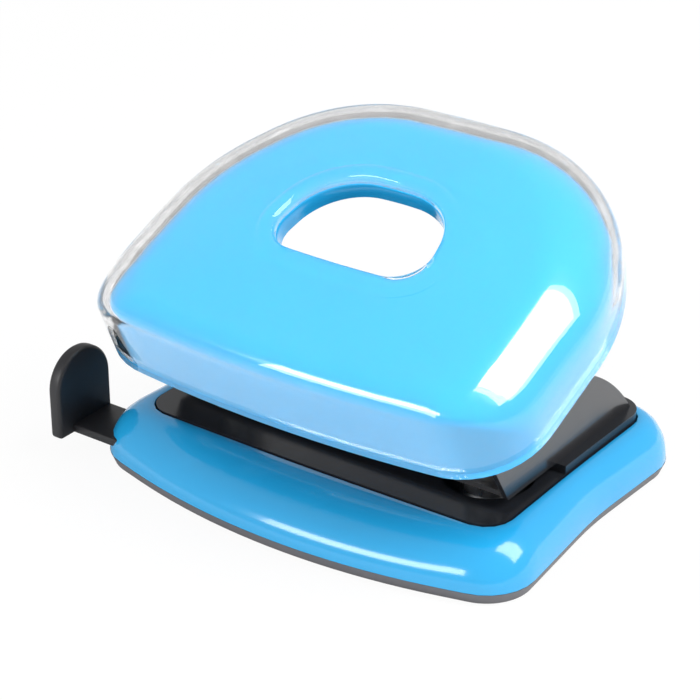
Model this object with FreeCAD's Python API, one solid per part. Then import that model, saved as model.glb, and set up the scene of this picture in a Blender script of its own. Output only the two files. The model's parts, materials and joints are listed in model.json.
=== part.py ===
import FreeCAD, Part
import math
import os

# Two-hole desk punch. Millimetres, +Z up, X along the length, -Y is the paper side, +Y the hand side.
# The origin is the centre of the tray's underside.

V = FreeCAD.Vector

# ---- driving dimensions ---------------------------------------------------------------------
BASE_HALF_LENGTH = 66.3        # plan of the base at its widest, from the middle to one end
BASE_NEAR = 50.4               # middle of the base to the middle of the paper side
BASE_FAR = 55.1                # middle of the base to the middle of the hand side
SHROUD_TOP = 15.1              # rim of the shroud's opening
SHROUD_WALL = 2.2
SHROUD_ROUND = 8.5             # rounding of its upper edge
OPENING_HALF_LENGTH = 56.4
OPENING_NEAR = 31.0
OPENING_FAR = 46.7
OPENING_CORNER = 8.0

TRAY_BAND = 3.0                # height of the visible band
TRAY_FLOOR = 1.5
TRAY_CHAMFER = 1.2
TRAY_LIP = 2.0                 # how far the lip rises inside the shroud
TRAY_WALL = 2.0
TRAY_GAP = 0.1                 # between the tray's band and the shroud

HOLE_SPACING = 80.0
HOLE_RADIUS = 2.75             # punch stem, cuts a hole of about 5.5 mm
HOLE_TO_EDGE = 12.0            # punch axis to the paper stop
PUNCH_Y = -8.0
DIE_CLEARANCE = 0.10
BUSH_CLEARANCE = 0.05

TABLE_TOP = 15.3               # paper table
SLOT_HEIGHT = 2.2              # paper slot above the table
DECK_THICKNESS = 2.0
DECK_GAP = 0.3                 # deck to shroud rim
FLANGE_REACH = 1.6             # deck flange under the shroud's rim
FLANGE_THICKNESS = 1.6
WELL_RADIUS = 12.2
WELL_DEPTH = 2.5
DIE_BOSS_RADIUS = 7.0
DIE_PLATE_THICKNESS = 2.0

THROAT_THICKNESS = 1.5
THROAT_NEAR = -18.5
THROAT_SEAT = 7.0              # how far the throat plate lies on the raised deck
PLATE_INNER = 51.5             # side plates: inner face
PLATE_THICKNESS = 1.5

PIVOT_Y = -23.0
PIVOT_Z = 37.0
PIVOT_RADIUS = 2.5
PIVOT_CLEARANCE = 0.05

BUSH_RADIUS = 4.5
BUSH_TOP = 24.5
BUSH_FLANGE_RADIUS = 6.5
BUSH_FLANGE = 1.0
SPRING_RADIUS = 5.3            # mean radius of the coil
SPRING_WIRE = 0.4              # radius of the wire
SPRING_TURNS = 6
CAP_RADIUS = 6.4
CAP_THICKNESS = 1.5
PUNCH_TIP = 18.0
PAD_ARM = 15.0                 # pivot to the pads that push the punches
PAD_RADIUS = 3.0
PAD_HALF_LENGTH = 6.0
PAD_GAP = 0.05

HANDLE_TILT = 22.8             # degrees, hand side up
HANDLE_TRAVEL = 22.0
HANDLE_Y = -44.7               # middle of the handle's rim on the paper side
HANDLE_Z = 31.7
HANDLE_HEIGHT = 26.5           # rim to crown
HANDLE_ROUND = 12.0            # rounding of its upper edge
COVER_WALL = 3.0
SHELL_WALL = 2.2
SHELL_GAP = 0.1
THUMB_HALF = 21.6              # thumb hole, half width
THUMB_NEAR = 37.2              # its straight side, from the rim's middle
THUMB_FAR = 66.2
THUMB_COLLAR = 2.0             # wall of the collar that lines it
THUMB_DEPTH = 5.0              # how far the collar reaches below the shell's top

LEVER_OUTER = 50.9
LEVER_THICKNESS = 1.5
LEVER_WEB_NEAR = 28.0
LEVER_WEB_FAR = 46.0
LEVER_WEB_TOP = -2.0
LEVER_FLANGE = 6.0             # underside of the flanges that carry the shell
LEVER_FLANGE_INNER = 40.0
BOSS_X = 45.0
BOSS_RADIUS = 3.2
BOSS_ROWS = (34.0, 64.0)
SCREW_RADIUS = 1.4
SCREW_HEAD_RADIUS = 2.6
SCREW_HEAD = 1.4

GUIDE_NEAR = -40.0
GUIDE_FAR = -24.5
GUIDE_BOTTOM = 5.3
GUIDE_THICKNESS = 2.5
GUIDE_STOP = 74.0              # paper's half width at the shown setting
GUIDE_INSIDE = 40.0            # inner end of the bar
PADDLE_THICKNESS = 4.0
PADDLE_NEAR = -45.0
PADDLE_FAR = -24.0
PADDLE_BOTTOM = 4.8
PADDLE_TOP = 28.8
GUIDE_CLEARANCE = 0.2

# ---- sizes that follow ----------------------------------------------------------------------
PLATFORM_TOP = TABLE_TOP + SLOT_HEIGHT
STOP_Y = PUNCH_Y + HOLE_TO_EDGE
SHROUD_BOTTOM = TRAY_BAND + TRAY_GAP
LIP_UNDERSIDE = SHROUD_TOP - SHROUD_WALL
FLANGE_TOP = LIP_UNDERSIDE - 1.3
FLANGE_BOTTOM = FLANGE_TOP - FLANGE_THICKNESS
DECK_BOTTOM = TABLE_TOP - DECK_THICKNESS
WELL_FLOOR = TABLE_TOP - WELL_DEPTH
DIE_TOP = TABLE_TOP - 0.1
THROAT_TOP = PLATFORM_TOP + THROAT_THICKNESS
PLATE_OUTER = PLATE_INNER + PLATE_THICKNESS
PUNCH_X = HOLE_SPACING / 2
HALF_TRAVEL = math.radians(HANDLE_TRAVEL / 2)
PAD_Y = PIVOT_Y + PAD_ARM * math.cos(HALF_TRAVEL)
PAD_Z = PIVOT_Z + PAD_ARM * math.sin(HALF_TRAVEL)
CAP_TOP = PAD_Z - PAD_RADIUS - PAD_GAP
TILT = math.radians(HANDLE_TILT)


# ---- outlines: corners with radii, right half from the near middle round to the far middle ----
def whole(half):
    """Mirrors a right half, which starts and ends on the middle line."""
    return half + [(-x, y, r) for x, y, r in reversed(half[1:-1])]


def edge_normals(points):
    normals = []
    for i, (x, y, _) in enumerate(points):
        nx, ny, _ = points[(i + 1) % len(points)]
        length = math.hypot(nx - x, ny - y)
        normals.append((-(ny - y) / length, (nx - x) / length))
    return normals


def inset(points, distance):
    """Moves every side inwards and keeps each corner's arc concentric."""
    normals = edge_normals(points)
    moved = []
    for i, (x, y, r) in enumerate(points):
        ax, ay = normals[i - 1]
        bx, by = normals[i]
        turn = ax * by - ay * bx
        scale = distance / (1 + ax * bx + ay * by)
        radius = r - distance if turn > 0 else r + distance
        moved.append((x + (ax + bx) * scale, y + (ay + by) * scale, max(radius, 0.5)))
    return moved


def wire(points, z):
    """A closed wire of straight sides and corner arcs at height z."""
    count = len(points)
    stops = []
    for i, (x, y, r) in enumerate(points):
        px, py, _ = points[i - 1]
        nx, ny, _ = points[(i + 1) % count]
        before = V(x - px, y - py, 0).normalize()
        after = V(nx - x, ny - y, 0).normalize()
        half = before.getAngle(after) / 2
        reach = r * math.tan(half)
        corner = V(x, y, z)
        inward = (after - before).normalize()
        middle = corner + inward * (r / math.cos(half) - r)
        stops.append((corner - before * reach, middle, corner + after * reach))
    edges = []
    for i in range(count):
        start, middle, end = stops[i]
        edges.append(Part.Arc(start, middle, end).toShape())
        edges.append(Part.LineSegment(end, stops[(i + 1) % count][0]).toShape())
    return Part.Wire(edges)


def prism(points, low, high):
    return Part.Face(wire(points, low)).extrude(V(0, 0, high - low))


def rounded(points, low, high, radius):
    """A block whose top edge is rounded over."""
    block = prism(points, low, high)
    rim = [edge for edge in block.Edges if edge.BoundBox.ZMin > high - 1e-6]
    return block.makeFillet(radius, rim)


def box(x0, x1, y0, y1, z0, z1):
    return Part.makeBox(x1 - x0, y1 - y0, z1 - z0, V(x0, y0, z0))


def upright(x, y, z0, z1, radius):
    return Part.makeCylinder(radius, z1 - z0, V(x, y, z0))


def rod(y, z, x0, x1, radius):
    return Part.makeCylinder(radius, x1 - x0, V(x0, y, z), V(1, 0, 0))


def profile(points, x0, x1):
    """A flat plate across X from a closed list of (y, z) corners."""
    corners = [V(x0, y, z) for y, z in points]
    return Part.Face(Part.makePolygon(corners + corners[:1])).extrude(V(x1 - x0, 0, 0))


def mirrored(shape):
    return shape.mirror(V(0, 0, 0), V(1, 0, 0))


def pair(shape):
    return Part.makeCompound([shape, mirrored(shape)])


def on_handle(shape):
    """Moves a shape from the handle's own frame, whose XY plane is its rim, to its place."""
    turned = shape.copy()
    turned.Placement = FreeCAD.Placement(
        V(0, HANDLE_Y, HANDLE_Z), FreeCAD.Rotation(V(1, 0, 0), HANDLE_TILT)
    ).multiply(turned.Placement)
    return turned


def to_handle(y, z):
    """The handle's own (along, up) coordinates of a point in the side view."""
    dy, dz = y - HANDLE_Y, z - HANDLE_Z
    along = dy * math.cos(TILT) + dz * math.sin(TILT)
    return along, dz * math.cos(TILT) - dy * math.sin(TILT)


BASE = whole([
    (0, -BASE_NEAR - 6.6, 190),
    (BASE_HALF_LENGTH + 1.2, -BASE_NEAR + 11.4, 14),
    (BASE_HALF_LENGTH - 3.1, 8, 120),
    (BASE_HALF_LENGTH - 1.3, BASE_FAR - 3.1, 13),
    (0, BASE_FAR + 0.93, 500),
])
OPENING = whole([
    (0, -OPENING_NEAR - 0.6, 900),
    (OPENING_HALF_LENGTH + 0.2, -OPENING_NEAR + 0.3, OPENING_CORNER),
    (OPENING_HALF_LENGTH - 0.3, 8, 900),
    (OPENING_HALF_LENGTH + 0.2, OPENING_FAR - 0.6, OPENING_CORNER),
    (0, OPENING_FAR + 0.2, 900),
])
HANDLE = whole([
    (0, -1.6, 500),
    (66.8, 4, 22),
    (66.8, 62, 60),
    (43, 104.8, 50),
    (0, 105.4, 200),
])
THUMB = whole([
    (0, THUMB_NEAR, 400),
    (THUMB_HALF + 3, THUMB_NEAR + 0.7, 9),
    (THUMB_HALF - 1.5, THUMB_FAR - 0.6, 18),
    (0, THUMB_FAR + 0.3, 100),
])
PIVOT_ALONG, PIVOT_UP = to_handle(PIVOT_Y, PIVOT_Z)
PAD_ALONG, PAD_UP = to_handle(PAD_Y, PAD_Z)


# ---- base -----------------------------------------------------------------------------------
def chip_tray():
    foot = Part.makeLoft([wire(inset(BASE, TRAY_CHAMFER), 0), wire(BASE, TRAY_BAND)], True, True)
    lip_inset = SHROUD_WALL + TRAY_GAP * 3
    lip = prism(inset(BASE, lip_inset), TRAY_BAND, TRAY_BAND + TRAY_LIP)
    hollow = prism(inset(BASE, lip_inset + TRAY_WALL), TRAY_FLOOR, TRAY_BAND + TRAY_LIP + 1)
    return foot.fuse(lip).cut(hollow).removeSplitter()


def base_shroud():
    outer = rounded(BASE, SHROUD_BOTTOM, SHROUD_TOP, SHROUD_ROUND)
    inner = rounded(inset(BASE, SHROUD_WALL), 0, LIP_UNDERSIDE, SHROUD_ROUND - SHROUD_WALL)
    opening = prism(OPENING, 0, SHROUD_TOP + 5)
    slot = box(-BASE_HALF_LENGTH - 5, -GUIDE_INSIDE - 10, GUIDE_NEAR - GUIDE_CLEARANCE,
               GUIDE_FAR + GUIDE_CLEARANCE, GUIDE_BOTTOM - GUIDE_CLEARANCE,
               GUIDE_BOTTOM + GUIDE_THICKNESS + GUIDE_CLEARANCE)
    return outer.cut(inner).cut(opening).cut(slot)


def deck():
    plate = prism(inset(OPENING, DECK_GAP), FLANGE_TOP, TABLE_TOP)
    flange = prism(inset(OPENING, -FLANGE_REACH), FLANGE_BOTTOM, FLANGE_TOP)
    pocket = prism(inset(OPENING, DECK_GAP + 2), FLANGE_BOTTOM - 1, DECK_BOTTOM)
    shape = plate.fuse(flange).cut(pocket)
    platform_zone = box(-100, 100, STOP_Y, 100, TABLE_TOP, PLATFORM_TOP)
    shape = shape.fuse(prism(inset(OPENING, DECK_GAP), TABLE_TOP, PLATFORM_TOP).common(platform_zone))
    for side in (-1, 1):
        x = side * PUNCH_X
        cup = upright(x, PUNCH_Y, WELL_FLOOR - DECK_THICKNESS, DECK_BOTTOM, WELL_RADIUS + DECK_THICKNESS)
        shape = shape.fuse(cup)
        near_zone = box(x - 20, x + 20, -60, STOP_Y, WELL_FLOOR, TABLE_TOP + 1)
        shape = shape.cut(upright(x, PUNCH_Y, WELL_FLOOR, TABLE_TOP + 1, WELL_RADIUS).common(near_zone))
        shape = shape.cut(upright(x, PUNCH_Y, FLANGE_BOTTOM - 5, TABLE_TOP + 1, DIE_BOSS_RADIUS + 0.2))
    back = box(-PLATE_INNER + 14, PLATE_INNER - 14, STOP_Y + 14, OPENING_FAR - 8, 0, PLATFORM_TOP + 1)
    for corner in screw_places():
        shape = shape.cut(upright(*corner, DECK_BOTTOM - 1, PLATFORM_TOP + 1, SCREW_RADIUS))
    return shape.cut(back).removeSplitter()


def screw_places():
    """Where the side plates' feet are screwed to the deck."""
    x = PLATE_INNER - 4
    return [(side * x, y) for side in (-1, 1) for y in (STOP_Y + 13, STOP_Y + 31)]


def die_plate():
    top = WELL_FLOOR - DECK_THICKNESS
    plate = box(-PUNCH_X - 11, PUNCH_X + 11, PUNCH_Y - 9, PUNCH_Y + 9, top - DIE_PLATE_THICKNESS, top)
    for side in (-1, 1):
        plate = plate.fuse(upright(side * PUNCH_X, PUNCH_Y, top, DIE_TOP, DIE_BOSS_RADIUS))
    for side in (-1, 1):
        hole = HOLE_RADIUS + DIE_CLEARANCE
        plate = plate.cut(upright(side * PUNCH_X, PUNCH_Y, 0, TABLE_TOP, hole))
    return plate


def throat_plate():
    plate = box(-PLATE_INNER, PLATE_INNER, THROAT_NEAR, STOP_Y + THROAT_SEAT, PLATFORM_TOP, THROAT_TOP)
    for side in (-1, 1):
        plate = plate.cut(upright(side * PUNCH_X, PUNCH_Y, 0, THROAT_TOP + 1, BUSH_RADIUS))
    return plate


def side_plate():
    rear = Part.Arc(V(PLATE_INNER, 42.2, PLATFORM_TOP), V(PLATE_INNER, 29.4, 30.3), V(PLATE_INNER, 10.0, 40.5))
    top = V(PLATE_INNER, PIVOT_Y + 2, PIVOT_Z + 6.6)
    nose = Part.Arc(top, V(PLATE_INNER, PIVOT_Y - 5.4, PIVOT_Z + 4.2), V(PLATE_INNER, PIVOT_Y - 6.6, PIVOT_Z - 2.0))
    foot_near = V(PLATE_INNER, THROAT_NEAR - 0.5, PLATFORM_TOP)
    foot_far = V(PLATE_INNER, 42.2, PLATFORM_TOP)
    edges = [
        rear.toShape(),
        Part.LineSegment(V(PLATE_INNER, 10.0, 40.5), top).toShape(),
        nose.toShape(),
        Part.LineSegment(V(PLATE_INNER, PIVOT_Y - 6.6, PIVOT_Z - 2.0), foot_near).toShape(),
        Part.LineSegment(foot_near, foot_far).toShape(),
    ]
    plate = Part.Face(Part.Wire(edges)).extrude(V(PLATE_THICKNESS, 0, 0))
    foot = box(PLATE_INNER - 8, PLATE_INNER, STOP_Y + THROAT_SEAT + 0.5, 40, PLATFORM_TOP, THROAT_TOP)
    plate = plate.fuse(foot)
    for x, y in screw_places():
        plate = plate.cut(upright(x, y, PLATFORM_TOP - 1, THROAT_TOP + 1, SCREW_RADIUS))
    return plate.cut(rod(PIVOT_Y, PIVOT_Z, 0, 80, PIVOT_RADIUS))


def bracket_screws():
    screws = []
    for x, y in screw_places():
        shank = upright(x, y, DECK_BOTTOM - 1.5, THROAT_TOP, SCREW_RADIUS)
        head = upright(x, y, THROAT_TOP, THROAT_TOP + SCREW_HEAD, SCREW_HEAD_RADIUS)
        cross = box(x - 1.4, x + 1.4, y - 0.35, y + 0.35, THROAT_TOP + 0.7, THROAT_TOP + 3)
        slot = box(x - 0.35, x + 0.35, y - 1.4, y + 1.4, THROAT_TOP + 0.7, THROAT_TOP + 3)
        screws.append(shank.fuse(head).cut(cross).cut(slot))
    return Part.makeCompound(screws)


def hinge_shaft():
    reach = PLATE_OUTER + 2.0
    return rod(PIVOT_Y, PIVOT_Z, -reach, reach, PIVOT_RADIUS)


def shaft_clips():
    clip = rod(PIVOT_Y, PIVOT_Z, PLATE_OUTER + 0.1, PLATE_OUTER + 0.9, PIVOT_RADIUS + 2.2)
    clip = clip.cut(rod(PIVOT_Y, PIVOT_Z, 0, 80, PIVOT_RADIUS))
    gap = box(PLATE_OUTER, PLATE_OUTER + 1, PIVOT_Y - 1.2, PIVOT_Y + 1.2, PIVOT_Z - 8, PIVOT_Z)
    return pair(clip.cut(gap))


def punch_bush(x):
    body = upright(x, PUNCH_Y, PLATFORM_TOP, BUSH_TOP, BUSH_RADIUS)
    flange = upright(x, PUNCH_Y, THROAT_TOP, THROAT_TOP + BUSH_FLANGE, BUSH_FLANGE_RADIUS)
    bore = upright(x, PUNCH_Y, PLATFORM_TOP - 1, BUSH_TOP + 1, HOLE_RADIUS + BUSH_CLEARANCE)
    return body.fuse(flange).cut(bore)


def spring(x):
    """A coil wound one turn at a time, so that each turn is a short true sweep."""
    low = THROAT_TOP + BUSH_FLANGE + SPRING_WIRE + 0.05
    height = CAP_TOP - CAP_THICKNESS - SPRING_WIRE - 0.05 - low
    pitch = height / SPRING_TURNS
    turn = Part.makeHelix(pitch, pitch, SPRING_RADIUS)
    circle = Part.Circle(V(SPRING_RADIUS, 0, 0), V(0, 1, 0), SPRING_WIRE).toShape()
    sweep = Part.Wire(turn.Edges).makePipeShell([Part.Wire([circle])], True, True)
    turns = []
    for i in range(SPRING_TURNS):
        copy = sweep.copy()
        copy.translate(V(x, PUNCH_Y, low + i * pitch))
        turns.append(copy)
    return turns[0].fuse(turns[1:])


# ---- punches --------------------------------------------------------------------------------
def punch(x):
    stem = upright(x, PUNCH_Y, PUNCH_TIP, CAP_TOP, HOLE_RADIUS)
    notch = Part.makeCylinder(HOLE_RADIUS * 1.5, 20, V(x - 10, PUNCH_Y, PUNCH_TIP - HOLE_RADIUS * 1.15), V(1, 0, 0))
    groove = upright(x, PUNCH_Y, CAP_TOP - CAP_THICKNESS - 0.8, CAP_TOP - CAP_THICKNESS, HOLE_RADIUS + 1)
    core = upright(x, PUNCH_Y, CAP_TOP - CAP_THICKNESS - 0.8, CAP_TOP - CAP_THICKNESS, HOLE_RADIUS - 0.5)
    return stem.cut(notch).cut(groove.cut(core))


def punch_cap(x):
    cap = upright(x, PUNCH_Y, CAP_TOP - CAP_THICKNESS, CAP_TOP, CAP_RADIUS)
    return cap.cut(upright(x, PUNCH_Y, 0, CAP_TOP + 1, HOLE_RADIUS))


def punch_clip(x):
    top = CAP_TOP - CAP_THICKNESS
    ring = upright(x, PUNCH_Y, top - 0.8, top, HOLE_RADIUS + 1.2)
    ring = ring.cut(upright(x, PUNCH_Y, 0, top + 1, HOLE_RADIUS - 0.5))
    return ring.cut(box(x - 1.3, x + 1.3, PUNCH_Y - 8, PUNCH_Y, top - 2, top + 1))


# ---- handle, in its own frame -----------------------------------------------------------------
def handle_body(depth, low):
    """The handle's outer form moved inwards by depth, from height low."""
    return rounded(inset(HANDLE, depth), low, HANDLE_HEIGHT - depth, HANDLE_ROUND - depth)


def handle_cover():
    shape = handle_body(0, 0).cut(handle_body(COVER_WALL, -1))
    hole = prism(inset(THUMB, -SHELL_GAP * 3), 0, HANDLE_HEIGHT + 5)
    return on_handle(shape.cut(hole))


def handle_shell():
    outer = COVER_WALL + SHELL_GAP
    shape = handle_body(outer, 0.3).cut(handle_body(outer + SHELL_WALL, -1))
    top = HANDLE_HEIGHT - outer
    collar = prism(inset(THUMB, -THUMB_COLLAR), top - THUMB_DEPTH, top)
    inside = handle_body(outer + SHELL_WALL, 0.3)
    for side in (-1, 1):
        for along in BOSS_ROWS:
            boss = upright(side * BOSS_X, along, LEVER_FLANGE + LEVER_THICKNESS, top, BOSS_RADIUS)
            shape = shape.fuse(boss.common(inside))
            shape = shape.cut(upright(side * BOSS_X, along, 0, LEVER_FLANGE + 9, SCREW_RADIUS))
    return on_handle(shape.fuse(collar).cut(prism(THUMB, -5, HANDLE_HEIGHT + 5)))


def handle_screws():
    screws = []
    for side in (-1, 1):
        for along in BOSS_ROWS:
            x = side * BOSS_X
            shank = upright(x, along, LEVER_FLANGE, LEVER_FLANGE + 8, SCREW_RADIUS)
            head = upright(x, along, LEVER_FLANGE - SCREW_HEAD, LEVER_FLANGE, SCREW_HEAD_RADIUS)
            slot = box(x - 1.4, x + 1.4, along - 0.35, along + 0.35, 0, LEVER_FLANGE - 0.7)
            screws.append(shank.fuse(head).cut(slot))
    return on_handle(Part.makeCompound(screws))


def lever():
    inner = LEVER_OUTER - LEVER_THICKNESS
    flange_top = LEVER_FLANGE + LEVER_THICKNESS
    near = PIVOT_ALONG - 7
    far = BOSS_ROWS[-1] + 6
    outline = [
        (near, PIVOT_UP - 4), (near + 4, PIVOT_UP - 6), (PIVOT_ALONG + 8, PIVOT_UP - 6),
        (LEVER_WEB_FAR + 4, LEVER_WEB_TOP - 3), (far, 2), (far, flange_top), (near, flange_top),
    ]
    wall = profile(outline, inner, LEVER_OUTER)
    flange = box(LEVER_FLANGE_INNER, LEVER_OUTER, near + 4, far, LEVER_FLANGE, flange_top)
    side = wall.fuse(flange)
    for along in BOSS_ROWS:
        side = side.cut(upright(BOSS_X, along, 0, 20, SCREW_RADIUS))
    side = side.cut(rod(PIVOT_ALONG, PIVOT_UP, 0, 80, PIVOT_RADIUS + PIVOT_CLEARANCE + 1.2))
    web = box(-inner, inner, LEVER_WEB_NEAR, LEVER_WEB_FAR, LEVER_WEB_TOP - LEVER_THICKNESS, LEVER_WEB_TOP)
    return on_handle(side.fuse(mirrored(side)).fuse(web))


def lever_pad(side):
    web_bottom = LEVER_WEB_TOP - LEVER_THICKNESS
    x0, x1 = side * PUNCH_X - PAD_HALF_LENGTH, side * PUNCH_X + PAD_HALF_LENGTH
    nose = rod(PAD_ALONG, PAD_UP, x0, x1, PAD_RADIUS)
    block = box(x0, x1, PAD_ALONG - PAD_RADIUS, PAD_ALONG + PAD_RADIUS, PAD_UP, web_bottom)
    return on_handle(nose.fuse(block))


def hinge_bushes():
    bore = PIVOT_RADIUS + PIVOT_CLEARANCE
    inner = LEVER_OUTER - LEVER_THICKNESS
    sleeve = rod(PIVOT_ALONG, PIVOT_UP, inner - 1.5, LEVER_OUTER + 0.4, bore + 1.2)
    flange = rod(PIVOT_ALONG, PIVOT_UP, inner - 1.5, inner, bore + 2.4)
    bush = sleeve.fuse(flange).cut(rod(PIVOT_ALONG, PIVOT_UP, 0, 80, bore))
    return on_handle(pair(bush))


# ---- paper guide ------------------------------------------------------------------------------
def paper_guide():
    bar = box(-GUIDE_STOP - 1, GUIDE_INSIDE, GUIDE_NEAR, GUIDE_FAR, GUIDE_BOTTOM, GUIDE_BOTTOM + GUIDE_THICKNESS)
    middle = (PADDLE_NEAR + PADDLE_FAR) / 2
    half = (PADDLE_FAR - PADDLE_NEAR) / 2
    x = -GUIDE_STOP - PADDLE_THICKNESS
    arch_z = PADDLE_TOP - half
    arch = Part.Arc(V(x, PADDLE_NEAR, arch_z), V(x, middle, PADDLE_TOP), V(x, PADDLE_FAR, arch_z)).toShape()
    corners = [V(x, PADDLE_FAR, arch_z), V(x, PADDLE_FAR, PADDLE_BOTTOM), V(x, PADDLE_NEAR, PADDLE_BOTTOM),
               V(x, PADDLE_NEAR, arch_z)]
    sides = [Part.LineSegment(a, b).toShape() for a, b in zip(corners, corners[1:])]
    paddle = Part.Face(Part.Wire([arch] + sides)).extrude(V(PADDLE_THICKNESS, 0, 0))
    return paddle.fuse(bar).removeSplitter()


def guide_track():
    x0, x1 = -GUIDE_INSIDE + 5, -GUIDE_INSIDE + 27
    wall = 1.6
    gap = GUIDE_CLEARANCE
    outer = box(x0, x1, GUIDE_NEAR - gap - wall, GUIDE_FAR + gap + wall, GUIDE_BOTTOM - gap - 1.2, FLANGE_BOTTOM)
    hole = box(x0 - 1, x1 + 1, GUIDE_NEAR - gap, GUIDE_FAR + gap, GUIDE_BOTTOM - gap,
               GUIDE_BOTTOM + GUIDE_THICKNESS + gap)
    return outer.cut(hole)


NODES = {
    "chip_tray": chip_tray(),
    "base_shroud": base_shroud(),
    "deck": deck(),
    "die_plate": die_plate(),
    "throat_plate": throat_plate(),
    "side_plate_right": side_plate(),
    "side_plate_left": mirrored(side_plate()),
    "bracket_screws": bracket_screws(),
    "hinge_shaft": hinge_shaft(),
    "shaft_clips": shaft_clips(),
    "guide_track": guide_track(),
    "paper_guide": paper_guide(),
    "handle_cover": handle_cover(),
    "handle_shell": handle_shell(),
    "handle_screws": handle_screws(),
    "lever": lever(),
    "hinge_bushes": hinge_bushes(),
}
for side, word in ((-1, "left"), (1, "right")):
    NODES["punch_" + word] = punch(side * PUNCH_X)
    NODES["punch_cap_" + word] = punch_cap(side * PUNCH_X)
    NODES["punch_clip_" + word] = punch_clip(side * PUNCH_X)
    NODES["punch_bush_" + word] = punch_bush(side * PUNCH_X)
    NODES["spring_" + word] = spring(side * PUNCH_X)
    NODES["lever_pad_" + word] = lever_pad(side)

os.makedirs("parts", exist_ok=True)
for name, shape in NODES.items():
    print(name, len(shape.Solids), round(shape.Volume, 1), shape.isValid())
    shape.exportStep(os.path.join("parts", name + ".step"))
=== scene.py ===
# %% [markdown]
# # A two-hole desk punch
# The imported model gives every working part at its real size. Here the parts that a hand and an eye meet,
# the clear cover, the blue shells and the paper guide, are modelled again with soft edges, and every
# surface gets its finish. Lengths are written in millimetres and turned into metres by MM.

# %% Load the frame
import json
import math

import bpy
from mathutils import Matrix, Vector


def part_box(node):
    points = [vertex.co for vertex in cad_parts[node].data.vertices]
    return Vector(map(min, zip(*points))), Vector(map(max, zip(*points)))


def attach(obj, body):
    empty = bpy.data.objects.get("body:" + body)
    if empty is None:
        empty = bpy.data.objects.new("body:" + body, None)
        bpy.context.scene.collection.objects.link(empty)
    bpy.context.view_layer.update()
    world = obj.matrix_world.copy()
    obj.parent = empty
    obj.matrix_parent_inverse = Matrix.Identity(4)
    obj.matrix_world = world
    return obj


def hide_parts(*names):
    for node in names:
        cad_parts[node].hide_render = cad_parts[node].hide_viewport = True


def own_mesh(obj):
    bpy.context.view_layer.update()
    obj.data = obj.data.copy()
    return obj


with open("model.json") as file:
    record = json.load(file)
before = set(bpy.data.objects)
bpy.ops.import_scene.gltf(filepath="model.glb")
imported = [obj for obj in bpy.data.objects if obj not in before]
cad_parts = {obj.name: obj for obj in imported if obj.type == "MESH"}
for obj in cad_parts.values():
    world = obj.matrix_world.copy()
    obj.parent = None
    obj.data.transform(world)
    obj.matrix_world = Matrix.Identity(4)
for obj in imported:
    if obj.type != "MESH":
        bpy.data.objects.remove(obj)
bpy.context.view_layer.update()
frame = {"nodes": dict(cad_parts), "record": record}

MM = 0.001

# %% [markdown]
# ## Tools for outlines
# Every moulded shell of this punch is a rounded outline carried up a curved wall. An outline is a list of
# corners with a radius each. A ray from the middle of the outline finds the point at any angle, so two
# outlines have matching points and can be bridged into clean strips of four-sided faces.

# %% Outlines from corners and radii
AROUND = 144


def whole(half):
    """Mirrors a right half, which starts and ends on the middle line."""
    return half + [(-x, y, r) for x, y, r in reversed(half[1:-1])]


def outline_pieces(corners):
    """The outline's arcs, each as centre, radius, start and end. Straight runs join them."""
    count = len(corners)
    arcs = []
    for i, (x, y, r) in enumerate(corners):
        before = Vector((x, y)) - Vector(corners[i - 1][:2])
        after = Vector(corners[(i + 1) % count][:2]) - Vector((x, y))
        before.normalize()
        after.normalize()
        half_turn = before.angle(after) / 2
        reach = r * math.tan(half_turn)
        corner = Vector((x, y))
        centre = corner + (after - before).normalized() * (r / math.cos(half_turn))
        arcs.append((centre, r, corner - before * reach, corner + after * reach))
    return arcs


def outline_point(arcs, middle, direction):
    """The point of the outline that a ray from the middle meets."""
    best = None
    for i, (centre, radius, start, end) in enumerate(arcs):
        following = arcs[(i + 1) % len(arcs)][2]
        run = following - end
        cross = direction.x * run.y - direction.y * run.x
        if abs(cross) > 1e-9:
            away = end - middle
            distance = (away.x * run.y - away.y * run.x) / cross
            share = (away.x * direction.y - away.y * direction.x) / cross
            if distance > 0 and -1e-6 <= share <= 1 + 1e-6:
                best = distance if best is None else max(best, distance)
        away = middle - centre
        half = away.dot(direction)
        root = half * half - away.length_squared + radius * radius
        if root < 0:
            continue
        for distance in (-half + math.sqrt(root), -half - math.sqrt(root)):
            place = middle + direction * distance
            chord = end - start
            offset = place - start
            along = offset.dot(chord) / max(chord.length_squared, 1e-12)
            outside = (place - start).dot((start + end) / 2 - centre) >= -1e-6
            if distance > 0 and -1e-6 <= along <= 1 + 1e-6 and outside:
                best = distance if best is None else max(best, distance)
    return middle + direction * best


def sampled(corners, middle):
    """AROUND points of an outline, at even angles round its middle."""
    arcs = outline_pieces(corners)
    points = []
    for k in range(AROUND):
        angle = math.tau * (k + 0.5) / AROUND
        points.append(outline_point(arcs, Vector(middle), Vector((math.sin(angle), -math.cos(angle)))))
    return points


def inset(points, distance):
    """Moves each point of a closed outline inwards, square to the outline."""
    count = len(points)
    moved = []
    for i, point in enumerate(points):
        run = points[(i + 1) % count] - points[i - 1]
        inward = Vector((-run.y, run.x)).normalized()
        moved.append(point + inward * distance)
    return moved


def towards(outer, inner, share):
    return [a.lerp(b, share) for a, b in zip(outer, inner)]


# %% [markdown]
# ## A shell from rings
# A moulded wall is made as on a bench with wire rings: each ring is a circle primitive pulled onto its
# outline, and bridging the rings gives the skin. The last ring is bridged back to the first, so that the
# wall has a thickness and the piece is closed.

# %% Rings and skins
def clear_selection():
    if bpy.context.mode != "OBJECT":
        bpy.ops.object.mode_set(mode="OBJECT")
    bpy.ops.object.select_all(action="DESELECT")


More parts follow.
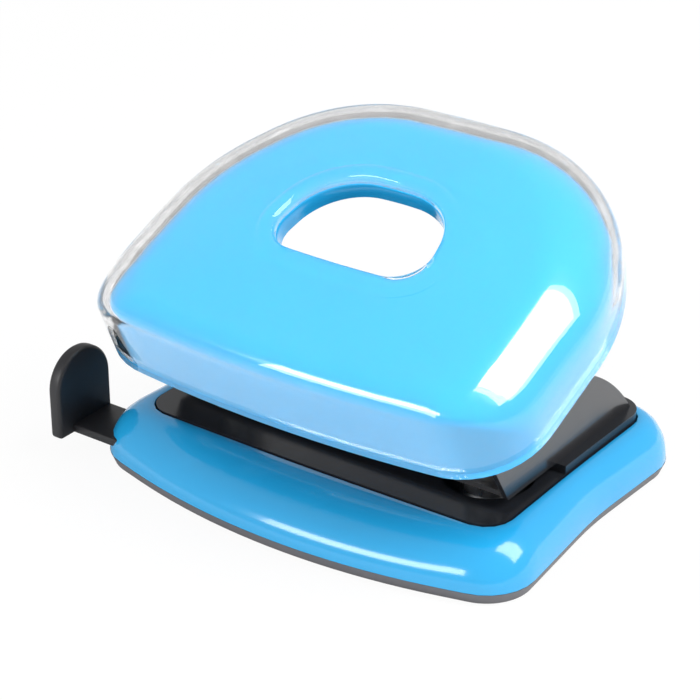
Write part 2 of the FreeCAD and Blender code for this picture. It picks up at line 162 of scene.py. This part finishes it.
def ring(points, heights):
    """A circle whose points are moved onto an outline, each at its own height."""
    clear_selection()
    bpy.ops.mesh.primitive_circle_add(vertices=AROUND, radius=MM)
    made = bpy.context.object
    for vertex, point, height in zip(made.data.vertices, points, heights):
        vertex.co = Vector((point.x, point.y, height)) * MM
    return made


def skin(name, rings):
    """Joins rings into one object and bridges each to the next, and the last to the first."""
    circles = [ring(points, heights) for points, heights in rings]
    clear_selection()
    for circle in circles:
        circle.select_set(True)
    bpy.context.view_layer.objects.active = circles[0]
    bpy.ops.object.join()
    made = bpy.context.object
    made.name = name
    made.data.name = name
    for i in range(len(circles)):
        bpy.ops.object.mode_set(mode="EDIT")
        bpy.ops.mesh.select_all(action="DESELECT")
        bpy.ops.object.mode_set(mode="OBJECT")
        for which in (i, (i + 1) % len(circles)):
            for k in range(AROUND):
                made.data.vertices[which * AROUND + k].select = True
            for edge in made.data.edges:
                ends = {v // AROUND for v in edge.vertices}
                if ends == {which}:
                    edge.select = True
        bpy.ops.object.mode_set(mode="EDIT")
        bpy.ops.mesh.bridge_edge_loops()
    bpy.ops.mesh.select_all(action="SELECT")
    bpy.ops.mesh.normals_make_consistent(inside=False)
    bpy.ops.object.mode_set(mode="OBJECT")
    return made


def smooth(made, degrees=35):
    clear_selection()
    made.select_set(True)
    bpy.context.view_layer.objects.active = made
    bpy.ops.object.shade_smooth_by_angle(angle=math.radians(degrees))
    print(made.name, len(made.data.polygons), "faces")


def settle(made, body, slot_name, *nodes):
    """The finished piece takes its body and the place of its CAD nodes; slot_name is not used."""
    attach(made, body)
    if nodes:
        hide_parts(*nodes)


# %% [markdown]
# ## The handle's form
# The handle is drawn flat on its rim and then tilted, paper side low. Its plan is straight on the paper
# side and arched on the hand side. The wall stands upright, tight at the paper edge and softly rounded on
# the other sides, and runs over a slight crown into the rolled rim of the thumb hole.

# %% Handle outlines
HANDLE_TILT = math.radians(22.8)
HANDLE_PLACE = Vector((0, -44.7, 31.7)) * MM
HANDLE_MIDDLE = (0, 53)
CROWN_HEIGHT = 26.5
CROWN_DROP = 1.3               # the crown's edge lies this far below its top
COVER_WALL = 3.0
SHELL_WALL = 2.2
SHELL_GAP = 0.12               # between the cover's inner face and the shell
WALL_UPRIGHT = 7.5             # where the wall starts to round over, on the ends and the hand side
WALL_UPRIGHT_NEAR = 18.5       # and on the paper side

HANDLE = sampled(whole([(0, -1.6, 500), (66.8, 4, 22), (66.8, 62, 60), (43, 104.8, 50), (0, 105.4, 200)]),
                 HANDLE_MIDDLE)
CROWN = sampled(whole([(0, 8.0, 500), (49, 12.5, 14), (48.5, 56, 55), (27, 86, 32), (0, 87, 200)]),
                HANDLE_MIDDLE)
THUMB = sampled(whole([(0, 37.2, 400), (24.6, 37.9, 9), (20.1, 65.6, 18), (0, 66.5, 100)]),
                HANDLE_MIDDLE)


def nearness(point):
    """1 on the handle's straight paper side, 0 elsewhere, with a soft change between."""
    share = min(max((20 - point.y) / 19, 0), 1)
    return share * share * (3 - 2 * share)


def wall_rings(depth, low, steps=12):
    """The handle's outer rings, moved inwards by depth: up the wall and over its rounding."""
    outline = inset(HANDLE, depth)
    crown = inset(CROWN, depth * 0.3)
    start = [WALL_UPRIGHT + (WALL_UPRIGHT_NEAR - WALL_UPRIGHT) * nearness(p) for p in HANDLE]
    end = [CROWN_HEIGHT - CROWN_DROP - depth] * AROUND
    rings = [(inset(outline, 0.5), [low] * AROUND), (outline, [low + 0.5] * AROUND)]
    for step in range(steps + 1):
        angle = math.pi / 2 * step / steps
        heights = [a - depth * 0.4 + (b - a + depth * 0.4) * math.sin(angle) for a, b in zip(start, end)]
        rings.append((towards(outline, crown, 1 - math.cos(angle)), heights))
    return rings


def crown_rings(depth, hole_reach, rim, steps=5):
    """From the crown's edge to the thumb hole's rim, rising slightly."""
    crown = inset(CROWN, depth * 0.3)
    hole = inset(THUMB, -hole_reach)
    low = CROWN_HEIGHT - CROWN_DROP - depth
    rings = []
    for step in range(1, steps + 1):
        share = step / steps
        rise = math.sin(math.pi / 2 * share)
        rings.append((towards(crown, hole, share), [low + (rim - low) * rise] * AROUND))
    return rings


def level(points, height):
    return points, [height] * AROUND


def tilt_onto_hinge(made):
    """Turns and moves the mesh from the handle's flat drawing to its raised place."""
    made.data.transform(Matrix.Translation(HANDLE_PLACE) @ Matrix.Rotation(HANDLE_TILT, 4, "X"))


# %% [markdown]
# ## Clear cover
# The outermost piece is a thick clear moulding over the whole handle. Its rim at the thumb hole is rolled,
# and that roll catches most of the light. The inner face is the outer one moved in by the wall.

# %% Clear cover
LEDGE = 0.55                   # the cover's rim stands on the blue shell's foot


def make_cover():
    outside = wall_rings(0, LEDGE) + crown_rings(0, 5.6, CROWN_HEIGHT - 0.8)
    roll = [level(inset(THUMB, -reach), CROWN_HEIGHT - drop) for reach, drop in
            ((5.2, 0.75), (4.6, 0.35), (3.6, 0.05), (2.6, 0.0), (1.7, 0.2), (0.9, 0.7), (0.4, 1.5), (0.3, 2.4))]
    foot = [level(inset(THUMB, -0.3), CROWN_HEIGHT - COVER_WALL)]
    inside = wall_rings(COVER_WALL, LEDGE) + crown_rings(COVER_WALL, 1.5, CROWN_HEIGHT - COVER_WALL)
    made = skin("clear_cover", outside + roll + foot + inside[::-1])
    tilt_onto_hinge(made)
    smooth(made)
    settle(made, "handle", "clear_cover", "handle_cover")
    return made


cover = make_cover()

# %% [markdown]
# ## Blue handle shell
# The coloured shell fills the cover, and its foot carries the cover's rim. It ends in a collar that lines
# the thumb hole, with rounded ends, so that a thumb meets no edge.

# %% Blue handle shell
def make_shell():
    depth = COVER_WALL + SHELL_GAP
    under = depth + SHELL_WALL
    top = CROWN_HEIGHT - depth
    foot = [level(inset(HANDLE, reach), height) for reach, height in
            ((1.0, 0.0), (0.6, 0.15), (0.6, 0.4), (0.75, LEDGE - 0.05), (depth - 0.1, LEDGE - 0.05))]
    outside = foot + wall_rings(depth, LEDGE)[1:] + crown_rings(depth, 1.2, top)
    collar = [level(inset(THUMB, -reach), height) for reach, height in
              ((0.6, top - 0.05), (0.2, top - 0.2), (0.0, top - 0.6), (0.0, top - 3), (0.0, top - 4.5),
               (0.5, top - 5), (1.5, top - 5), (2.0, top - 4.5), (2.0, top - 2.6))]
    inside = wall_rings(under, 0.4) + crown_rings(under, 2.6, top - SHELL_WALL)
    made = skin("blue_handle_shell", outside + collar + inside[::-1])
    tilt_onto_hinge(made)
    smooth(made)
    settle(made, "handle", "blue_body", "handle_shell")
    return made


shell = make_shell()

# %% [markdown]
# ## Base shroud
# The base is a skirt that swells from the tray's band to the black deck: deep on the paper side, where the
# paper slides up over it, and short at the ends. It is the same ring method, with a thin rolled lip.

# %% Base shroud
BASE_MIDDLE = (0, 2)
BASE = sampled(whole([(0, -57, 190), (67.5, -39, 14), (63.2, 8, 120), (65, 52, 13), (0, 56.03, 500)]),
               BASE_MIDDLE)
OPENING = sampled(whole([(0, -31.6, 900), (56.6, -30.7, 8), (56.1, 8, 900), (56.6, 46.1, 8), (0, 46.9, 900)]),
                  BASE_MIDDLE)
SHROUD_LOW = 3.1
SHROUD_TOP = 15.1
SHROUD_WALL = 2.2


def swell_rings(depth, top, steps=14):
    """From the band up and over to the opening, moved inwards by depth."""
    outline = inset(BASE, depth)
    rings = [(outline, [SHROUD_LOW] * AROUND)]
    for step in range(1, steps):
        angle = math.pi / 2 * step / steps
        height = SHROUD_LOW + (top - SHROUD_LOW) * math.sin(angle)
        rings.append(level(towards(outline, inset(OPENING, -0.6), 1 - math.cos(angle)), height))
    return rings


def make_shroud():
    outside = swell_rings(0, SHROUD_TOP)
    lip = [level(inset(OPENING, -reach), SHROUD_TOP - drop) for reach, drop in
           ((0.6, 0.0), (0.25, 0.12), (0.05, 0.4), (0.0, SHROUD_WALL))]
    inside = swell_rings(SHROUD_WALL, SHROUD_TOP - SHROUD_WALL)
    made = skin("blue_base_shroud", outside + lip + inside[::-1])
    smooth(made)
    settle(made, "base", "blue_body", "base_shroud")
    return made


shroud = make_shroud()

# %% [markdown]
# ## Paper guide
# A flat bar slides out of the base and ends in an upright finger plate, which the paper's edge meets. The
# plate is a block whose upper corners are rounded into a half circle, and then all edges are eased.

# %% Paper guide
PADDLE_THICKNESS = 4.0
BAR_NEAR_LOW = (-40.0, 5.3)    # y and z of the bar's lower edge on the paper side
BAR_FAR_HIGH = (-24.5, 7.8)


def bevelled(made, width, segments):
    modifier = made.modifiers.new("eased", "BEVEL")
    modifier.width = width * MM
    modifier.segments = segments
    modifier.limit_method = "ANGLE"
    modifier.angle_limit = math.radians(40)
    bpy.ops.object.modifier_apply(modifier=modifier.name)


def block(name, low, high):
    """A cube between two corners, in millimetres."""
    clear_selection()
    low, high = Vector(low), Vector(high)
    bpy.ops.mesh.primitive_cube_add(size=MM, location=(low + high) / 2 * MM, scale=high - low)
    bpy.ops.object.transform_apply(location=True, rotation=True, scale=True)
    made = bpy.context.object
    made.name = name
    made.data.name = name
    return made


def make_guide():
    low, high = (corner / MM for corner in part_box("paper_guide"))
    plate = block("paper_guide_plate", low, (low[0] + PADDLE_THICKNESS, high[1], high[2]))
    bpy.context.tool_settings.mesh_select_mode = (False, True, False)
    bpy.ops.object.mode_set(mode="EDIT")
    bpy.ops.mesh.select_all(action="DESELECT")
    bpy.ops.object.mode_set(mode="OBJECT")
    for edge in plate.data.edges:
        ends = [plate.data.vertices[v].co for v in edge.vertices]
        across = abs(ends[0].x - ends[1].x) > MM
        edge.select = across and min(end.z for end in ends) > (high[2] - 1) * MM
    bpy.ops.object.mode_set(mode="EDIT")
    bpy.ops.mesh.bevel(offset=(high[1] - low[1]) * 0.49 * MM, segments=14)
    bpy.ops.object.mode_set(mode="OBJECT")
    bpy.context.tool_settings.mesh_select_mode = (True, False, False)
    bevelled(plate, 1.1, 4)
    bar = block("bar", (low[0] + 3, *BAR_NEAR_LOW), (high[0], *BAR_FAR_HIGH))
    bevelled(bar, 0.5, 3)
    plate.select_set(True)
    bpy.context.view_layer.objects.active = plate
    bpy.ops.object.join()
    smooth(plate)
    settle(plate, "guide", "guide_plastic", "paper_guide")
    return plate


guide = make_guide()

# %% [markdown]
# ## Return springs
# A coil is a small circle, stood upright and screwed round the punch pin. Each spring stands on the mechanism's
# frame. Here the coil keeps one length, though the real spring shortens as its punch is pressed down.

# %% Return springs
SPRING_X = 40.0
SPRING_Y = -8.0
SPRING_RADIUS = 5.3
WIRE_RADIUS = 0.4
SPRING_TURNS = 6


def make_spring(side, sign):
    low, high = (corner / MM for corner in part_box("spring_" + side))
    clear_selection()
    bpy.ops.mesh.primitive_circle_add(vertices=12, radius=WIRE_RADIUS * MM,
                                      location=(SPRING_RADIUS * MM, 0, 0), rotation=(math.pi / 2, 0, 0))
    bpy.ops.object.transform_apply(location=True, rotation=True, scale=True)
    coil = bpy.context.object
    coil.name = "coil_" + side
    coil.data.name = coil.name
    modifier = coil.modifiers.new("wound", "SCREW")
    modifier.axis = "Z"
    modifier.steps = modifier.render_steps = 32
    modifier.iterations = SPRING_TURNS
    modifier.screw_offset = (high[2] - low[2] - 2 * WIRE_RADIUS) / SPRING_TURNS * MM
    bpy.ops.object.modifier_apply(modifier=modifier.name)
    bpy.ops.object.mode_set(mode="EDIT")
    bpy.ops.mesh.select_all(action="DESELECT")
    bpy.ops.mesh.select_non_manifold()
    bpy.ops.mesh.fill_holes(sides=12)
    bpy.ops.mesh.select_all(action="SELECT")
    bpy.ops.mesh.normals_make_consistent(inside=False)
    bpy.ops.object.mode_set(mode="OBJECT")
    coil.data.transform(Matrix.Translation(Vector((sign * SPRING_X, SPRING_Y, low[2] + WIRE_RADIUS)) * MM))
    smooth(coil)
    settle(coil, "base", "bright_steel", "spring_" + side)
    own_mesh(coil)
    return coil


springs = [make_spring("left", -1), make_spring("right", 1)]

# %% [markdown]
# ## Shader maths
# A small class wraps a socket, so that a pattern is written as an expression. One method makes any node.

# %% Sockets as expressions
class Sock:
    def __init__(self, tree, socket):
        self.tree = tree
        self.socket = socket

    def node(self, kind, settings=None, **inputs):
        made = self.tree.nodes.new(kind)
        for key, value in (settings or {}).items():
            setattr(made, key, value)
        for key, value in inputs.items():
            target = made.inputs[int(key[1:])] if key[0] == "i" and key[1:].isdigit() else made.inputs[key]
            if isinstance(value, Sock):
                self.tree.links.new(value.socket, target)
            else:
                target.default_value = value
        return made

    def maths(self, operation, a, b):
        made = self.node("ShaderNodeMath", {"operation": operation}, i0=a, i1=b)
        return Sock(self.tree, made.outputs[0])

    def __add__(self, other):
        return self.maths("ADD", self, other)

    def __mul__(self, other):
        return self.maths("MULTIPLY", self, other)

    __radd__ = __add__
    __rmul__ = __mul__


class Finish:
    """A material with one Principled shader and object coordinates."""

    def __init__(self, name, colour, roughness, **fixed):
        self.material = bpy.data.materials.new(name)
        self.material.use_nodes = True
        self.tree = self.material.node_tree
        self.shader = self.tree.nodes["Principled BSDF"]
        self.shader.inputs["Base Color"].default_value = (*colour, 1)
        self.shader.inputs["Roughness"].default_value = roughness
        for key, value in fixed.items():
            self.shader.inputs[key.replace("_", " ")].default_value = value
        place = self.tree.nodes.new("ShaderNodeTexCoord")
        self.place = Sock(self.tree, place.outputs["Object"])

    def noise(self, scale, detail=3.0, stretch=None):
        vector = self.place
        if stretch:
            mapped = self.place.node("ShaderNodeMapping", None, Vector=vector, Scale=stretch)
            vector = Sock(self.tree, mapped.outputs[0])
        made = self.place.node("ShaderNodeTexNoise", None, Vector=vector, Scale=scale, Detail=detail)
        return Sock(self.tree, made.outputs[0])

    def mix(self, factor, first, second):
        made = self.place.node("ShaderNodeMix", {"data_type": "RGBA"}, i0=factor)
        made.inputs[6].default_value = (*first, 1)
        made.inputs[7].default_value = (*second, 1)
        return Sock(self.tree, made.outputs[2])

    def feed(self, name, value):
        self.tree.links.new(value.socket, self.shader.inputs[name])

    def bump(self, height, strength, distance):
        made = self.place.node("ShaderNodeBump", None, Height=height, Strength=strength, Distance=distance)
        self.tree.links.new(made.outputs[0], self.shader.inputs["Normal"])


# %% [markdown]
# ## Finishes
# Gloss plastic is nearly even in colour, with a faint flow of pigment and a very shallow ripple that bends
# reflections. Lacquered steel has a finer orange peel. Bare steel is drawn, so its grain is stretched.

# %% Plastics and metals
def gloss_blue():
    finish = Finish("gloss_blue", (0.02, 0.36, 0.70), 0.16, Coat_Weight=0.5, Coat_Roughness=0.05)
    flow = finish.noise(18, 2)
    finish.feed("Base Color", finish.mix(flow, (0.014, 0.34, 0.68), (0.022, 0.38, 0.73)))
    finish.feed("Roughness", 0.12 + 0.1 * finish.noise(60, 4))
    finish.bump(finish.noise(90, 2), 0.04, 0.0004)
    return finish.material


def clear_acrylic():
    finish = Finish("clear_acrylic", (1, 1, 1), 0.0, IOR=1.18, Transmission_Weight=1.0, Coat_Weight=1.0,
                    Coat_IOR=1.5, Coat_Roughness=0.01)
    finish.feed("Roughness", 0.03 * finish.noise(120, 5))
    finish.bump(finish.noise(25, 2), 0.03, 0.0004)
    shade = finish.tree.nodes.new("ShaderNodeBsdfTransparent")
    mixer = finish.tree.nodes.new("ShaderNodeMixShader")
    path = finish.tree.nodes.new("ShaderNodeLightPath")
    output = finish.tree.nodes["Material Output"]
    finish.tree.links.new(path.outputs["Is Shadow Ray"], mixer.inputs[0])
    finish.tree.links.new(finish.shader.outputs[0], mixer.inputs[1])
    finish.tree.links.new(shade.outputs[0], mixer.inputs[2])
    finish.tree.links.new(mixer.outputs[0], output.inputs["Surface"])
    return finish.material


def plain_plastic(name, dark, light, roughness, grain):
    finish = Finish(name, light, roughness)
    finish.feed("Base Color", finish.mix(finish.noise(40, 4), dark, light))
    finish.feed("Roughness", roughness - 0.06 + 0.12 * finish.noise(150, 4))
    finish.bump(finish.noise(1800, 3), grain, 0.00006)
    return finish.material


def lacquered_steel():
    finish = Finish("lacquered_steel", (0.02, 0.02, 0.022), 0.24, Coat_Weight=0.35, Coat_Roughness=0.08)
    finish.feed("Base Color", finish.mix(finish.noise(50, 3), (0.014, 0.014, 0.016), (0.028, 0.028, 0.031)))
    finish.feed("Roughness", 0.16 + 0.12 * finish.noise(200, 4))
    finish.bump(finish.noise(700, 2), 0.15, 0.00005)
    return finish.material


def drawn_steel():
    finish = Finish("drawn_steel", (0.62, 0.63, 0.65), 0.25, Metallic=1.0)
    grain = finish.noise(300, 4, stretch=(1, 1, 0.05))
    finish.feed("Base Color", finish.mix(grain, (0.50, 0.51, 0.53), (0.72, 0.73, 0.75)))
    finish.feed("Roughness", 0.18 + 0.2 * grain)
    finish.bump(grain, 0.1, 0.00004)
    return finish.material


FINISHES = {
    "blue_body": gloss_blue(),
    "clear_cover": clear_acrylic(),
    "grey_tray": plain_plastic("satin_grey", (0.10, 0.10, 0.11), (0.14, 0.14, 0.15), 0.45, 0.3),
    "guide_plastic": plain_plastic("charcoal", (0.010, 0.010, 0.012), (0.015, 0.015, 0.018),
                                   0.45, 0.3),
    "black_deck": plain_plastic("gloss_black", (0.012, 0.013, 0.016), (0.018, 0.020, 0.024), 0.22, 0.05),
    "black_steel": lacquered_steel(),
    "bright_steel": drawn_steel(),
    "bush_plastic": plain_plastic("natural_acetal", (0.62, 0.61, 0.56), (0.70, 0.69, 0.64), 0.4, 0.2),
}
PIECE_SLOTS = ((cover, "clear_cover"), (shell, "blue_body"), (shroud, "blue_body"), (guide, "guide_plastic"),
               (springs[0], "bright_steel"), (springs[1], "bright_steel"))
for piece, slot_name in PIECE_SLOTS:
    piece.data.materials.clear()
    piece.data.materials.append(FINISHES[slot_name])
for entry in frame["record"]["subparts"]:
    node = frame["nodes"][entry["node"]]
    for holder in node.material_slots:
        holder.material = FINISHES[entry["material_slot"]]
print(len(FINISHES), "finishes")

# %% [markdown]
# ## Studio
# A white sweep under an even white sky. A large soft light stands high on the right, and its reflection
# lies along the handle's rounded edge. A low one in front lights the upright walls.

# %% Floor, lights and camera
FLOOR_SIZE = 6
FLOOR_DROP = 0.0002            # keeps the floor just below the tray
FLOOR_GLOW = 0.93              # the share of plain white in the floor, the rest is lit
WORLD_LIGHT = 0.58
CAMERA_PLACE = (0.3104, -0.4443, 0.3110)
CAMERA_AZIMUTH = math.radians(35.75)
CAMERA_ELEVATION = math.radians(26.9)
CAMERA_LENS = 118.3


def make_floor():
    clear_selection()
    bpy.ops.mesh.primitive_plane_add(size=FLOOR_SIZE, location=(0, 0, -FLOOR_DROP))
    floor = bpy.context.object
    floor.name = "floor"
    sweep = Finish("white_sweep", (0.9, 0.9, 0.9), 0.9)
    glow = sweep.tree.nodes.new("ShaderNodeEmission")
    mixer = sweep.tree.nodes.new("ShaderNodeMixShader")
    path = sweep.tree.nodes.new("ShaderNodeLightPath")
    seen = Sock(sweep.tree, path.outputs["Is Camera Ray"])
    through = Sock(sweep.tree, path.outputs["Is Transmission Ray"])
    share = (seen + through) * FLOOR_GLOW
    sweep.tree.links.new(share.socket, mixer.inputs[0])
    sweep.tree.links.new(sweep.shader.outputs[0], mixer.inputs[1])
    sweep.tree.links.new(glow.outputs[0], mixer.inputs[2])
    sweep.tree.links.new(mixer.outputs[0], sweep.tree.nodes["Material Output"].inputs["Surface"])
    floor.data.materials.append(sweep.material)


def area_light(name, place, target, size, power):
    light = bpy.data.lights.new(name, "AREA")
    light.shape = "RECTANGLE"
    light.size, light.size_y = size
    light.energy = power
    holder = bpy.data.objects.new(name, light)
    bpy.context.collection.objects.link(holder)
    direction = Vector(target) - Vector(place)
    turn = direction.to_track_quat("-Z", "Y").to_matrix().to_4x4()
    holder.matrix_world = Matrix.Translation(place) @ turn


make_floor()
area_light("right", (0.74, 0.26, 0.95), (0, 0, 0.05), (0.56, 1.10), 14.0)
area_light("front", (-0.3, -1.2, 0.5), (0, 0, 0.04), (0.9, 0.3), 8.0)

world = bpy.data.worlds.new("studio")
bpy.context.scene.world = world
world.use_nodes = True
world.node_tree.nodes["Background"].inputs[0].default_value = (1, 1, 1, 1)
backdrop = Sock(world.node_tree, world.node_tree.nodes.new("ShaderNodeLightPath").outputs["Is Camera Ray"])
strength = WORLD_LIGHT + (1 - WORLD_LIGHT) * backdrop
world.node_tree.links.new(strength.socket, world.node_tree.nodes["Background"].inputs[1])

camera = bpy.data.cameras.new("camera")
camera.lens = CAMERA_LENS
camera_holder = bpy.data.objects.new("camera", camera)
bpy.context.collection.objects.link(camera_holder)
level_turn = Matrix.Rotation(math.pi / 2 - CAMERA_ELEVATION, 4, "X")
camera_turn = Matrix.Rotation(CAMERA_AZIMUTH, 4, "Z") @ level_turn
camera_holder.matrix_world = Matrix.Translation(CAMERA_PLACE) @ camera_turn
bpy.context.scene.camera = camera_holder
bpy.context.scene.view_settings.view_transform = "Standard"
